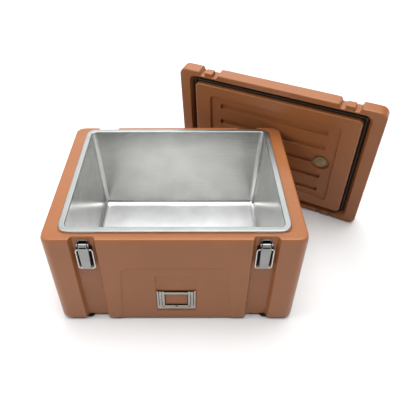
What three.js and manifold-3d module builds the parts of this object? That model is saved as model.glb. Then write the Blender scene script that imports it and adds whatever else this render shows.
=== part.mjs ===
// Insulated food carrier: a foam-filled plastic box with a steel tub, four wire-bail latches and a
// lift-off lid that leans on the box's back right corner, underside forward.
// Millimetres. X runs to the right, Y to the back, Z up. The origin is the middle of the flat underside.
import * as THREE from 'three';
import { mergeVertices } from 'three/addons/utils/BufferGeometryUtils.js';
import Module from 'manifold-3d';

const wasm = await Module();
wasm.setup();

// box
const BODY_X = 650;
const BODY_Y = 480;
const BODY_Z = 325;
const CORNER_R = 24; // upright corners of box and lid
const BOTTOM_FILLET = 6;
const BEVEL_LOW_Z = 316; // where the wall starts to lean in towards the top edge
const TOP_EDGE = [[BEVEL_LOW_Z, 0], [323, 2.2], [324.4, 3.2], [BODY_Z, 5]]; // [z, inset]
const WALL = 6; // moulded outer skin
const TUB_WALL = 4; // moulded inner skin behind the steel
const GAP = 0.3; // between two pieces that touch

// steel tub
const LINER_X = 540; // clear length at the rim
const LINER_Y = 404; // clear width at the rim
const LINER_CORNER = 14;
const LINER_DRAFT = 12; // how far each wall leans in by the floor
const LINER_FLOOR_Z = 40;
const LINER_FLOOR_R = 16;
const SHEET = 1.2;
const FLANGE_WIDTH = 16;
const FLANGE_RISE = 8; // top of the steel rim above the plastic
const FLANGE_CORNER = 22;

// latch channels, the same on the box and the lid
const CHANNEL_X = 222;
const CHANNEL_MOUTH = 66;
const CHANNEL_BED = 54;
const CHANNEL_DEPTH = 14;

// front panel and label recess
const PANEL_TOP_Z = 222;
const PANEL_HALF_TOP = 139;
const PANEL_HALF_BOTTOM = 155;
const PANEL_CORNER = 22;
const PANEL_FLARE = 1.6; // how much wider the panel is at the start of its top corners
const PANEL_DEPTH = 2.5;
const LABEL_HALF = 54;
const LABEL_LOW_Z = 34;
const LABEL_HIGH_Z = 187;
const LABEL_CORNER = 4;
const FRAME_X = 104;
const FRAME_Z = 76;
const FRAME_LOW_Z = 46;
const FRAME_THICK = 4.2;
const FRAME_RIM = 5; // width of the bars that touch the box
const FRAME_STUD = 5; // half size of the seats around the two rivets
const FRAME_NOTCH = 9; // how far the card's slot stays from the ends
const FRAME_NOTCH_Z = 3;
const WINDOW_X = 60;
const WINDOW_Z = 46;
const FRAME_RIVET_X = 41;

// hand grips in the two ends
const GRIP_HALF = 68;
const GRIP_LOW_Z = 212;
const GRIP_HIGH_Z = 262;
const GRIP_DEPTH = 28;
const GRIP_LIP = 12; // thickness of the bar that the fingers curl behind
const GRIP_UNDERCUT = 12;
const GRIP_CHAMFER = 8; // at the pocket's inner lower edge

// feet
const FOOT_SIZE = 66;
const FOOT_Z = 8;
const FOOT_SEAT = 1; // depth of the flat at each corner that a foot sits on
const FOOT_SEAT_CLEAR = 1.5;
const FOOT_X = 267;
const FOOT_Y = 203.5;
const FOOT_CORNER = 12;
const SCREW_R = 2.5;
const SCREW_HEAD_R = 6;
const SCREW_SEAT_R = 7;
const FOOT_CHAMFER = 2;

// fill plugs
const BODY_PLUG_Y = 110;
const PLUG_R = 18.5;
const PLUG_RIM_R = 21;
const PLUG_RIM_Z = 2;

// latches: y is measured outwards from the channel bed as a negative number, z from the underside
const PIVOT_Y = -8.9;
const PIVOT_Z = 303;
const BAIL_Y = -8.2;
const BAIL_Z = 285;
const BAIL_DROP = 70;
const BAIL_HALF = 21.2; // to the middle of the wire
const BAIL_BEND = 5;
const WIRE_R = 1.8;
const PIN_R = 2;
const KNUCKLE_R = 4.4;
const KNUCKLE_HALF = 10.4;
const PLATE = 1.4;
const LEVER_FRONT_Y = -13.6;
const LEVER_BACK_Y = -5.2;
const LEVER_TOP_Z = 295;
const LEVER_END_Z = 219;
const LEVER_HALF_TOP = 13;
const LEVER_HALF_END = 11;
const RIVET_R = 2.1;
const RIVET_Z = [250, 276];
const BASE_HALF = 20;
const BASE_LOW_Z = 222;
const BASE_SHOULDER_Z = 290;
const BASE_NECK_HALF = 13.4;
const BASE_NECK_Z = 299;
const BASE_TOP_HALF = 10;
const BASE_TOP_Z = 314;
const BASE_SLOT_HALF = 8.5;
const BASE_SLOT_LOW_Z = 305;
const BASE_SLOT_HIGH_Z = 310.5;
const EAR = 2; // thickness of the base's two ears
const EAR_R = 5;
const EAR_CLEAR = 0.4;
const HINGE_CLEAR = 0.35; // between the pin and what turns on it
const PIN_HEAD_R = 4.2;
const PIN_HEAD = 1.8;

// lid, modelled flat with its underside up at z = 0
const LID_THICK = 42;
const LID_CROWN = 6; // extra height of the middle part of the top
const CROWN_HALF = 186;
const CROWN_CORNER = 8;
const LID_FILLET = 4;
const GROOVE_HALF_X = 289;
const GROOVE_HALF_Y = 221;
const GROOVE_WIDTH = 22;
const GROOVE_DEPTH = 14;
const GROOVE_DRAFT = 8; // how far the groove's outer wall slopes in by its bed
const PLATEAU_RISE = 5;
const PLATEAU_CORNER = 14;
const PLATEAU_FILLET = 3;
const LID_PANEL_HALF_X = 213;
const LID_PANEL_HALF_Y = 161;
const RIB_HALF = 178;
const RIB_WIDTH = 20;
const RIB_PITCH = 62;
const RIB_DEPTH = 7;
const RIB_CORNER = 6;
const RIB_ROWS = [-2, -1, 0, 1, 2];
const LID_PLUG_X = 172;
const LID_PLUG_RECESS_R = 30;
const KEEPER_HALF = 13;
const KEEPER_Z = 28;
const KEEPER_FLUSH = 0.5; // how far a keeper's face stays behind the lid's edge
const GASKET_THICK = 4;
const GASKET_RIDGE = 2;
const GASKET_LIP = 4; // width of each of its two lips
const GASKET_CORNER = 20;
const GASKET_CLEAR = 0.5;

// how the lid leans on the box
const LID_YAW = THREE.MathUtils.degToRad(-26.8);
const LID_LEAN = THREE.MathUtils.degToRad(6.35);
const LID_FOOT_X = 317; // middle of the lid's lower edge
const LID_CLEAR = 0.6;

const materials = {
  plastic: new THREE.MeshStandardMaterial({ color: 0xa5714f, roughness: 0.55, metalness: 0 }),
  foam: new THREE.MeshStandardMaterial({ color: 0xe6dcae, roughness: 0.95, metalness: 0 }),
  steel: new THREE.MeshStandardMaterial({ color: 0xc9cbc8, roughness: 0.35, metalness: 1 }),
  bright: new THREE.MeshStandardMaterial({ color: 0xdedfdd, roughness: 0.15, metalness: 1 }),
  rubber: new THREE.MeshStandardMaterial({ color: 0x141414, roughness: 0.85, metalness: 0 }),
  plug: new THREE.MeshStandardMaterial({ color: 0x8a7d55, roughness: 0.5, metalness: 0 }),
};

// ---- from three.js geometry to a solid and back

function solid(geometry) {
  const bare = geometry.clone();
  bare.deleteAttribute('normal');
  bare.deleteAttribute('uv');
  const merged = mergeVertices(bare, 1e-4);
  const mesh = new wasm.Mesh({
    numProp: 3,
    vertProperties: new Float32Array(merged.attributes.position.array),
    triVerts: new Uint32Array(merged.index.array),
  });
  return new wasm.Manifold(mesh);
}

function part(name, shape, material) {
  const data = shape.getMesh();
  const geometry = new THREE.BufferGeometry();
  geometry.setAttribute('position', new THREE.BufferAttribute(data.vertProperties, 3));
  geometry.setIndex(new THREE.BufferAttribute(data.triVerts, 1));
  geometry.computeVertexNormals();
  const mesh = new THREE.Mesh(geometry, material);
  mesh.name = name;
  return mesh;
}

// ---- shapes used again and again

function box(x0, x1, y0, y1, z0, z1) {
  const geometry = new THREE.BoxGeometry(x1 - x0, y1 - y0, z1 - z0);
  geometry.translate((x0 + x1) / 2, (y0 + y1) / 2, (z0 + z1) / 2);
  return solid(geometry);
}

function roundedRect(halfX, halfY, r) {
  const shape = new THREE.Shape();
  shape.absarc(halfX - r, halfY - r, r, 0, Math.PI / 2);
  shape.absarc(r - halfX, halfY - r, r, Math.PI / 2, Math.PI);
  shape.absarc(r - halfX, r - halfY, r, Math.PI, 1.5 * Math.PI);
  shape.absarc(halfX - r, r - halfY, r, 1.5 * Math.PI, 2 * Math.PI);
  return shape;
}

function polygon(points) {
  return new THREE.Shape(points.map(([x, y]) => new THREE.Vector2(x, y)));
}

function upright(shape, z0, z1, curveSegments = 3) {
  const settings = { depth: z1 - z0, bevelEnabled: false, curveSegments };
  return new THREE.ExtrudeGeometry(shape, settings).translate(0, 0, z0);
}

// an outline drawn in x and z, extruded from y0 to y1
function facing(shape, y0, y1, curveSegments = 3) {
  const geometry = upright(shape, -y1, -y0, curveSegments);
  return solid(geometry.rotateX(Math.PI / 2));
}

// a rounded block whose walls step in by the given inset at each level, listed as [z, inset]
function tapered(halfX, halfY, r, levels, curveSegments = 3) {
  const steps = levels.length - 1;
  const settings = { depth: steps, steps, bevelEnabled: false, curveSegments };
  const geometry = new THREE.ExtrudeGeometry(roundedRect(halfX, halfY, r), settings);
  const position = geometry.attributes.position;
  for (let i = 0; i < position.count; i += 1) {
    const [z, inset] = levels[Math.round(position.getZ(i))];
    const x = position.getX(i);
    const y = position.getY(i);
    position.setXYZ(i, x - Math.sign(x) * inset, y - Math.sign(y) * inset, z);
  }
  return solid(geometry);
}

// levels of a quarter-round edge: below it at z0, or above it when up is -1
function fillet(z0, r, up, steps = 3) {
  const levels = [];
  for (let i = 0; i <= steps; i += 1) {
    const a = (i / steps) * (Math.PI / 2);
    levels.push([z0 + up * r * (1 - Math.cos(a)), r * (1 - Math.sin(a))]);
  }
  return up > 0 ? levels : levels.reverse();
}

function plainBlock(halfX, halfY, r, z0, z1) {
  return tapered(halfX, halfY, r, [[z0, 0], [z1, 0]]);
}

function rod(r, length, segments = 12) {
  return new THREE.CylinderGeometry(r, r, length, segments);
}

function uprightRod(r, x, y, z0, z1, segments = 16) {
  const geometry = rod(r, z1 - z0, segments).rotateX(Math.PI / 2);
  return solid(geometry.translate(x, y, (z0 + z1) / 2));
}

function crossRod(r, halfLength, y, z, segments = 12) {
  return solid(rod(r, 2 * halfLength, segments).rotateZ(Math.PI / 2).translate(0, y, z));
}

function unite(shapes) {
  return shapes.reduce((all, shape) => all.add(shape));
}

function carve(shape, cuts) {
  return cuts.reduce((left, cut) => left.subtract(cut), shape);
}

const ENDS = [['left', -1], ['right', 1]];
const SIDES = [['front', -1], ['back', 1]];

function eachCorner(make) {
  return SIDES.flatMap(([side, sy]) => ENDS.map(([end, sx]) => make(`${side}_${end}`, sx, sy)));
}

// ---- box shell, foam and steel tub

// a channel's space, grown by a margin, from the bed out past the face
function channelSpace(sx, sy, margin, z0, z1) {
  const bed = BODY_Y / 2 - CHANNEL_DEPTH - margin;
  const face = BODY_Y / 2 + 10;
  const flare = (CHANNEL_MOUTH - CHANNEL_BED) / 2 / CHANNEL_DEPTH;
  const halfBed = CHANNEL_BED / 2 + margin;
  const halfFace = halfBed + flare * (face - bed);
  const outline = [[-halfBed, bed], [halfBed, bed], [halfFace, face], [-halfFace, face]];
  const geometry = upright(polygon(outline), z0, z1);
  geometry.rotateZ(sy > 0 ? 0 : Math.PI);
  return solid(geometry.translate(sx * CHANNEL_X, 0, 0));
}

function gripSpace(sx, margin) {
  const deep = BODY_X / 2 - GRIP_DEPTH - margin;
  const high = GRIP_HIGH_Z + GRIP_UNDERCUT + margin;
  const behindBar = BODY_X / 2 - GRIP_LIP + margin;
  const outer = BODY_X / 2 + 10;
  const outline = polygon([
    [deep, GRIP_LOW_Z - margin + GRIP_CHAMFER],
    [deep + GRIP_CHAMFER, GRIP_LOW_Z - margin],
    [outer, GRIP_LOW_Z - margin],
    [outer, GRIP_HIGH_Z + margin],
    [behindBar, GRIP_HIGH_Z + margin],
    [behindBar, high],
    [deep, high],
  ]);
  const pocket = facing(outline, -GRIP_HALF - margin, GRIP_HALF + margin);
  return sx > 0 ? pocket : pocket.mirror([1, 0, 0]);
}

// the tub's inside, grown outwards all round by a margin
function tubSpace(margin, topZ) {
  const halfX = LINER_X / 2 + margin;
  const halfY = LINER_Y / 2 + margin;
  const floorZ = LINER_FLOOR_Z - margin;
  const bend = fillet(floorZ, LINER_FLOOR_R, 1);
  const levels = bend.map(([z, inset]) => [z, inset + LINER_DRAFT]);
  levels.push([topZ, 0]);
  return tapered(halfX, halfY, LINER_CORNER + margin, levels);
}

// the room for foam between the outer skin and the tub, shrunk by a gap
function foamSpace(gap) {
  const inset = WALL + gap;
  const room = plainBlock(BODY_X / 2 - inset, BODY_Y / 2 - inset, CORNER_R - inset, inset, BODY_Z - inset);
  const labelBack = 2 * PANEL_DEPTH + inset - BODY_Y / 2;
  const cuts = [
    tubSpace(SHEET + GAP + TUB_WALL + gap, BODY_Z + 1),
    box(-LABEL_HALF - inset, LABEL_HALF + inset, -BODY_Y, labelBack, -1, LABEL_HIGH_Z + inset),
  ];
  for (const [, sx] of ENDS) {
    cuts.push(gripSpace(sx, inset));
    for (const [, sy] of SIDES) {
      cuts.push(channelSpace(sx, sy, inset, -1, BODY_Z + 1));
    }
  }
  return carve(room, cuts);
}

function panelOutline() {
  const bendX = PANEL_HALF_TOP + PANEL_FLARE;
  const bendZ = PANEL_TOP_Z - PANEL_CORNER;
  const shape = new THREE.Shape();
  shape.moveTo(-PANEL_HALF_BOTTOM, -5);
  shape.lineTo(PANEL_HALF_BOTTOM, -5);
  shape.lineTo(bendX, bendZ);
  shape.quadraticCurveTo(PANEL_HALF_TOP, PANEL_TOP_Z, PANEL_HALF_TOP - PANEL_CORNER, PANEL_TOP_Z);
  shape.lineTo(PANEL_CORNER - PANEL_HALF_TOP, PANEL_TOP_Z);
  shape.quadraticCurveTo(-PANEL_HALF_TOP, PANEL_TOP_Z, -bendX, bendZ);
  return shape;
}

function blindHole(r, x, bedY, sy, z) {
  const geometry = rod(r, 2 * (WALL - 1)).translate(x, sy * bedY, z);
  return solid(geometry);
}

function bodyShell() {
  const halfX = BODY_X / 2;
  const halfY = BODY_Y / 2;
  const edge = [...fillet(0, BOTTOM_FILLET, 1), ...TOP_EDGE];
  const block = tapered(halfX, halfY, CORNER_R, edge);
  const ridgeX = LINER_X / 2 + FLANGE_WIDTH - SHEET - GAP;
  const ridgeY = LINER_Y / 2 + FLANGE_WIDTH - SHEET - GAP;
  const ridgeTop = BODY_Z + FLANGE_RISE - SHEET - GAP;
  const ridge = plainBlock(ridgeX, ridgeY, FLANGE_CORNER - 2, BODY_Z - 2, ridgeTop);
  const front = -halfY;
  const labelBed = front + 2 * PANEL_DEPTH;
  const cuts = [
    foamSpace(0),
    tubSpace(SHEET + GAP, BODY_Z + FLANGE_RISE),
    facing(panelOutline(), front - 5, front + PANEL_DEPTH),
    labelRecess(labelBed),
    uprightRod(PLUG_R + GAP, 0, BODY_PLUG_Y, -1, WALL + 1),
    uprightRod(PLUG_RIM_R + GAP, 0, BODY_PLUG_Y, -1, PLUG_RIM_Z),
  ];
  for (const [, sx] of ENDS) {
    cuts.push(gripSpace(sx, 0));
    cuts.push(blindHole(RIVET_R + GAP, sx * FRAME_RIVET_X, -labelBed, -1, FRAME_LOW_Z + FRAME_Z / 2));
    for (const [, sy] of SIDES) {
      cuts.push(channelSpace(sx, sy, 0, -1, BODY_Z + 1));
      cuts.push(footSeat(sx, sy));
      cuts.push(uprightRod(SCREW_R + GAP, sx * FOOT_X, sy * FOOT_Y, -1, WALL - 0.7));
      for (const z of RIVET_Z) {
        cuts.push(blindHole(RIVET_R + GAP, sx * CHANNEL_X, halfY - CHANNEL_DEPTH, sy, z));
      }
    }
  }
  return carve(block.add(ridge), cuts);
}

function steelLiner() {
  const top = BODY_Z + FLANGE_RISE;
  const halfX = LINER_X / 2 + FLANGE_WIDTH;
  const halfY = LINER_Y / 2 + FLANGE_WIDTH;
  const lip = tapered(halfX, halfY, FLANGE_CORNER, [[BODY_Z + GAP, 0], ...fillet(top, 1.5, -1, 2)]);
  const under = plainBlock(halfX - SHEET, halfY - SHEET, FLANGE_CORNER - SHEET, BODY_Z - 1, top - SHEET);
  const tub = tubSpace(SHEET, top - 0.5);
  return lip.subtract(under).add(tub).subtract(tubSpace(0, top + 0.01));
}

// ---- label frame, feet and plugs

function labelRecess(bedY) {
  const halfZ = (LABEL_HIGH_Z - LABEL_LOW_Z) / 2;
  const recess = facing(roundedRect(LABEL_HALF, halfZ, LABEL_CORNER), bedY - 20, bedY, 2);
  return recess.translate([0, 0, LABEL_LOW_Z + halfZ]);
}

function labelFrame() {
  const back = -BODY_Y / 2 + 2 * PANEL_DEPTH - GAP;
  const face = back - FRAME_THICK;
  const low = FRAME_LOW_Z;
  const high = low + FRAME_Z;
  const middle = low + FRAME_Z / 2;
  const half = FRAME_X / 2;
  const pocketX = half - FRAME_RIM;
  const windowX = WINDOW_X / 2;
  const windowZ = WINDOW_Z / 2;
  const notchX = half - FRAME_NOTCH;
  const pocket = box(-pocketX, pocketX, face + PLATE, back + 1, low + FRAME_RIM, high + 1);
  const window = box(-windowX, windowX, face - 1, back + 1, middle - windowZ, middle + windowZ);
  const notch = box(-notchX, notchX, face - 1, back + 1, high - FRAME_NOTCH_Z, high + 1);
  const holes = ENDS.map(([, sx]) => {
    return solid(rod(RIVET_R + GAP, 6 * FRAME_THICK).translate(sx * FRAME_RIVET_X, face, middle));
  });
  const studs = ENDS.map(([, sx]) => {
    const x = sx * FRAME_RIVET_X;
    return box(x - FRAME_STUD, x + FRAME_STUD, face + 0.5, back, middle - FRAME_STUD, middle + FRAME_STUD);
  });
  const plate = box(-half, half, face, back, low, high);
  return carve(unite([carve(plate, [pocket, window, notch]), ...studs]), holes);
}

// a domed rivet whose head sits on z = 0 and whose shank points down
function rivetProfile(headR, headZ, shank) {
  const profile = [
    [0, -shank],
    [RIVET_R, -shank],
    [RIVET_R, 0],
    [headR, 0],
    [headR * 0.8, headZ * 0.65],
    [0, headZ],
  ];
  return new THREE.LatheGeometry(profile.map(([r, z]) => new THREE.Vector2(r, z)), 12);
}

// the lathe's own axis is Y, so a half turn about Z points the head towards -Y
function outwardRivet(x, y, z, headR, headZ, shank) {
  return solid(rivetProfile(headR, headZ, shank).rotateZ(Math.PI).translate(x, y, z));
}

function footSeat(sx, sy) {
  const x = FOOT_X - FOOT_SIZE / 2 - FOOT_SEAT_CLEAR;
  const y = FOOT_Y - FOOT_SIZE / 2 - FOOT_SEAT_CLEAR;
  const [x0, x1] = sx > 0 ? [x, BODY_X] : [-BODY_X, -x];
  const [y0, y1] = sy > 0 ? [y, BODY_Y] : [-BODY_Y, -y];
  return box(x0, x1, y0, y1, -1, FOOT_SEAT);
}

function foot(sx, sy) {
  const x = sx * FOOT_X;
  const y = sy * FOOT_Y;
  const levels = [[-FOOT_Z, FOOT_CHAMFER], [FOOT_CHAMFER - FOOT_Z, 0], [FOOT_SEAT - GAP, 0]];
  const pad = tapered(FOOT_SIZE / 2, FOOT_SIZE / 2, FOOT_CORNER, levels, 2).translate([x, y, 0]);
  const bore = uprightRod(SCREW_R + GAP, x, y, -FOOT_Z - 1, FOOT_SEAT + 1);
  const seat = uprightRod(SCREW_SEAT_R, x, y, -FOOT_Z - 1, 3 - FOOT_Z);
  return carve(pad, [bore, seat]);
}

function footScrew(sx, sy) {
  const x = sx * FOOT_X;
  const y = sy * FOOT_Y;
  const head = uprightRod(SCREW_HEAD_R, x, y, 0.8 - FOOT_Z, 3 - GAP - FOOT_Z);
  return head.add(uprightRod(SCREW_R, x, y, 2 - FOOT_Z, WALL - 1.2));
}

function bodyPlug() {
  const rim = uprightRod(PLUG_RIM_R, 0, BODY_PLUG_Y, 0.2, PLUG_RIM_Z - GAP);
  return rim.add(uprightRod(PLUG_R, 0, BODY_PLUG_Y, 1, WALL - GAP));
}

// ---- latches, in the channel's own frame: bed at y = 0, outwards is -y

function latchBase() {
  const rightSide = [
    [BASE_HALF, BASE_LOW_Z],
    [BASE_HALF, BASE_SHOULDER_Z],
    [BASE_NECK_HALF, BASE_NECK_Z],
    [BASE_NECK_HALF, BASE_TOP_Z - 6],
    [BASE_TOP_HALF, BASE_TOP_Z],
  ];
  const leftSide = rightSide.map(([x, z]) => [-x, z]).reverse();
  const front = -GAP - PLATE;
  const plate = facing(polygon([...rightSide, ...leftSide]), front, -GAP);
  const ears = ENDS.map(([, sx]) => {
    const inner = KNUCKLE_HALF + EAR_CLEAR;
    const middle = sx * (inner + EAR / 2);
    const tip = solid(rod(EAR_R, EAR).rotateZ(Math.PI / 2).translate(middle, PIVOT_Y, PIVOT_Z));
    const web = box(-EAR / 2, EAR / 2, PIVOT_Y, front + 0.5, PIVOT_Z - EAR_R, PIVOT_Z + EAR_R);
    return tip.add(web.translate([middle, 0, 0]));
  });
  const slot = box(-BASE_SLOT_HALF, BASE_SLOT_HALF, -5, 1, BASE_SLOT_LOW_Z, BASE_SLOT_HIGH_Z);
  const pinHole = crossRod(PIN_R + HINGE_CLEAR, 20, PIVOT_Y, PIVOT_Z);
  const rivetHoles = RIVET_Z.map((z) => solid(rod(RIVET_R + GAP, 10).translate(0, 0, z)));
  return carve(unite([plate, ...ears]), [slot, pinHole, ...rivetHoles]);
}

function latchPin() {
  const reach = KNUCKLE_HALF + EAR_CLEAR + EAR + GAP + PIN_HEAD / 2;
  const heads = ENDS.map(([, sx]) => {
    return solid(rod(PIN_HEAD_R, PIN_HEAD).rotateZ(Math.PI / 2).translate(sx * reach, PIVOT_Y, PIVOT_Z));
  });
  return unite([crossRod(PIN_R, reach, PIVOT_Y, PIVOT_Z), ...heads]);
}

function leverOutline(inset) {
  const top = LEVER_TOP_Z - inset;
  const end = LEVER_END_Z + inset;
  const halfTop = LEVER_HALF_TOP - inset;
  const halfEnd = LEVER_HALF_END - inset;
  const corner = 5;
  const shape = new THREE.Shape();
  shape.moveTo(-halfTop, top - 2);
  shape.lineTo(-halfEnd, end + corner);
  shape.quadraticCurveTo(-halfEnd, end, corner - halfEnd, end);
  shape.lineTo(halfEnd - corner, end);
  shape.quadraticCurveTo(halfEnd, end, halfEnd, end + corner);
  shape.lineTo(halfTop, top - 2);
  shape.lineTo(halfTop - 2.6, top);
  shape.lineTo(2.6 - halfTop, top);
  return shape;
}

function latchLever() {
  const tray = facing(leverOutline(0), LEVER_FRONT_Y, LEVER_BACK_Y);
  const hollow = facing(leverOutline(PLATE), LEVER_FRONT_Y + PLATE, LEVER_BACK_Y + 1);
  const openTop = box(-20, 20, LEVER_FRONT_Y + PLATE, 0, LEVER_TOP_Z - 3, LEVER_TOP_Z + 5);
  const neck = box(
    -KNUCKLE_HALF, KNUCKLE_HALF, LEVER_FRONT_Y, LEVER_FRONT_Y + PLATE, LEVER_TOP_Z - 1, PIVOT_Z + 1,
  );
  const knuckle = crossRod(KNUCKLE_R, KNUCKLE_HALF, PIVOT_Y, PIVOT_Z, 16);
  const slot = box(-8, 8, LEVER_FRONT_Y - 1, LEVER_FRONT_Y + PLATE + 1, LEVER_TOP_Z - 1, PIVOT_Z - 4.2);
  const pinBore = crossRod(PIN_R + HINGE_CLEAR, 20, PIVOT_Y, PIVOT_Z);
  const bailHoles = crossRod(WIRE_R + 0.5, 20, BAIL_Y, BAIL_Z, 12);
  return carve(unite([carve(tray, [hollow, openTop]), neck, knuckle]), [slot, pinBore, bailHoles]);
}

function bailPath() {
  const endX = 9.2; // the wire's ends stop inside the lever
  const at = (x, z) => new THREE.Vector3(x, BAIL_Y, z);
  const path = new THREE.CurvePath();
  const low = BAIL_Z - BAIL_DROP;
  const bend = (from, corner, to) => path.add(new THREE.QuadraticBezierCurve3(from, corner, to));
  const line = (from, to) => path.add(new THREE.LineCurve3(from, to));
  line(at(-endX, BAIL_Z), at(BAIL_BEND - BAIL_HALF, BAIL_Z));
  bend(at(BAIL_BEND - BAIL_HALF, BAIL_Z), at(-BAIL_HALF, BAIL_Z), at(-BAIL_HALF, BAIL_Z - BAIL_BEND));
  line(at(-BAIL_HALF, BAIL_Z - BAIL_BEND), at(-BAIL_HALF, low + BAIL_BEND));
  bend(at(-BAIL_HALF, low + BAIL_BEND), at(-BAIL_HALF, low), at(BAIL_BEND - BAIL_HALF, low));
  line(at(BAIL_BEND - BAIL_HALF, low), at(BAIL_HALF - BAIL_BEND, low));
  bend(at(BAIL_HALF - BAIL_BEND, low), at(BAIL_HALF, low), at(BAIL_HALF, low + BAIL_BEND));
  line(at(BAIL_HALF, low + BAIL_BEND), at(BAIL_HALF, BAIL_Z - BAIL_BEND));
  bend(at(BAIL_HALF, BAIL_Z - BAIL_BEND), at(BAIL_HALF, BAIL_Z), at(BAIL_HALF - BAIL_BEND, BAIL_Z));
  line(at(BAIL_HALF - BAIL_BEND, BAIL_Z), at(endX, BAIL_Z));
  return path;
}

function latchBail() {
  const section = new THREE.Shape();
  section.absarc(0, 0, WIRE_R, 0, 2 * Math.PI);
  const settings = { extrudePath: bailPath(), steps: 40, curveSegments: 4, bevelEnabled: false };
  return solid(new THREE.ExtrudeGeometry(section, settings));
}

function latch(place, sx, sy) {
  const group = new THREE.Group();
  group.position.set(sx * CHANNEL_X, sy * (BODY_Y / 2 - CHANNEL_DEPTH), 0);
  group.rotation.z = sy > 0 ? Math.PI : 0;
  const name = `latch_${place}`;
  group.add(part(`${name}_base`, latchBase(), materials.steel));
  group.add(part(`${name}_pin`, latchPin(), materials.bright));
  group.add(part(`${name}_lever`, latchLever(), materials.steel));
  group.add(part(`${name}_bail`, latchBail(), materials.bright));
  RIVET_Z.forEach((z, i) => {
    const rivet = outwardRivet(0, -GAP - PLATE - GAP, z, 4, 1.8, WALL - 1.6 + PLATE);
    group.add(part(`${name}_rivet_${i + 1}`, rivet, materials.steel));
  });
  return group;
}

// ---- lid

function lidFoamSpace(gap) {
  const low = WALL + gap - LID_THICK;
  const borderX = BODY_X / 2 - WALL - 2 - gap;
  const borderY = BODY_Y / 2 - CHANNEL_DEPTH - WALL - gap;
  const border = plainBlock(borderX, borderY, 20, low, -GROOVE_DEPTH - WALL - gap);
  const inset = GROOVE_WIDTH + WALL + gap;
  const middleX = GROOVE_HALF_X - inset;
  const middleY = GROOVE_HALF_Y - inset;
  const middle = plainBlock(middleX, middleY, 12, low, -RIB_DEPTH - WALL - gap);
  return border.add(middle);
}

function ribCut(y, x1) {
  const halfX = (x1 + RIB_HALF) / 2;
  const groove = plainBlock(halfX, RIB_WIDTH / 2, RIB_CORNER, -RIB_DEPTH, PLATEAU_RISE + 1);
  return groove.translate([(x1 - RIB_HALF) / 2, y, 0]);
}

function keeper(sx, sy) {
  const outer = BODY_Y / 2 - KEEPER_FLUSH;
  const inner = BODY_Y / 2 - CHANNEL_DEPTH - 2;
  const block = box(-KEEPER_HALF, KEEPER_HALF, inner, outer, -KEEPER_Z, -1);
  const turned = sy > 0 ? block : block.mirror([0, 1, 0]);
  return turned.translate([sx * CHANNEL_X, 0, 0]);
}

function lidShell() {
  const halfX = BODY_X / 2;
  const halfY = BODY_Y / 2;
  const edge = [...fillet(-LID_THICK, LID_FILLET, 1), ...fillet(0, LID_FILLET, -1)];
  const plate = tapered(halfX, halfY, CORNER_R, edge);
  const crownLow = -LID_THICK - LID_CROWN;
  const crown = tapered(CROWN_HALF, halfY, CROWN_CORNER, [[crownLow, LID_CROWN], [2 - LID_THICK, 0]]);
  const slope = [[-GROOVE_DEPTH, GROOVE_DRAFT], [0, 0], [1, 0]];
  const groove = tapered(GROOVE_HALF_X, GROOVE_HALF_Y, GASKET_CORNER + 1, slope);
  const insideX = GROOVE_HALF_X - GROOVE_WIDTH;
  const insideY = GROOVE_HALF_Y - GROOVE_WIDTH;
  const sides = [[-GROOVE_DEPTH - 1, 0], ...fillet(PLATEAU_RISE, PLATEAU_FILLET, -1)];
  const plateau = tapered(insideX, insideY, PLATEAU_CORNER, sides);
  const panel = plainBlock(LID_PANEL_HALF_X, LID_PANEL_HALF_Y, 9, 0, PLATEAU_RISE + 1);
  const cuts = [
    panel,
    lidFoamSpace(0),
    uprightRod(PLUG_R + GAP, LID_PLUG_X, 0, -RIB_DEPTH - WALL - 1, 1),
    uprightRod(LID_PLUG_RECESS_R, LID_PLUG_X, 0, -RIB_DEPTH, PLATEAU_RISE + 1, 24),
  ];
  for (const row of RIB_ROWS) {
    cuts.push(ribCut(row * RIB_PITCH, row === 0 ? LID_PLUG_X : RIB_HALF));
  }
  const notches = eachCorner((_, sx, sy) => channelSpace(sx, sy, 0, crownLow - 1, 1));
  const keepers = eachCorner((_, sx, sy) => keeper(sx, sy));
  const body = carve(plate.add(crown), [groove, ...notches]);
  return carve(unite([body, plateau, ...keepers]), cuts);
}

function lidGasket() {
  const bed = -GROOVE_DEPTH + GAP;
  const outerX = GROOVE_HALF_X - GROOVE_DRAFT - GASKET_CLEAR;
  const outerY = GROOVE_HALF_Y - GROOVE_DRAFT - GASKET_CLEAR;
  const width = GROOVE_WIDTH - GROOVE_DRAFT - 2 * GASKET_CLEAR;
  const ring = (inset, wide, z0, z1) => {
    const all = inset + wide;
    const outer = plainBlock(outerX - inset, outerY - inset, GASKET_CORNER - inset, z0, z1);
    const innerCorner = GASKET_CORNER - inset - wide * 0.4;
    return outer.subtract(plainBlock(outerX - all, outerY - all, innerCorner, z0 - 1, z1 + 1));
  };
  const top = bed + GASKET_THICK;
  const insets = [1, width - GASKET_LIP - 1];
  const lips = insets.map((inset) => ring(inset, GASKET_LIP, bed + 1, top + GASKET_RIDGE));
  return unite([ring(0, width, bed, top), ...lips]);
}

function lidPlug() {
  const bed = -RIB_DEPTH;
  const rim = uprightRod(PLUG_RIM_R, LID_PLUG_X, 0, bed + GAP, bed + 2.5);
  return rim.add(uprightRod(PLUG_R, LID_PLUG_X, 0, bed - WALL + GAP, bed + 1));
}

// where the lid's lower edge stands so that its panel just clears the box's rounded corner
function lidFootY() {
  const nx = -Math.sin(LID_YAW) * Math.cos(LID_LEAN);
  const ny = Math.cos(LID_YAW) * Math.cos(LID_LEAN);
  const nz = Math.sin(LID_LEAN);
  const straightX = (BODY_X / 2 - CORNER_R) * nx;
  const straightY = (BODY_Y / 2 - CORNER_R) * ny;
  const reach = straightX + straightY + CORNER_R * Math.hypot(nx, ny) + BEVEL_LOW_Z * nz;
  return (reach + LID_CLEAR - LID_FOOT_X * nx + FOOT_Z * nz) / ny;
}

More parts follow.
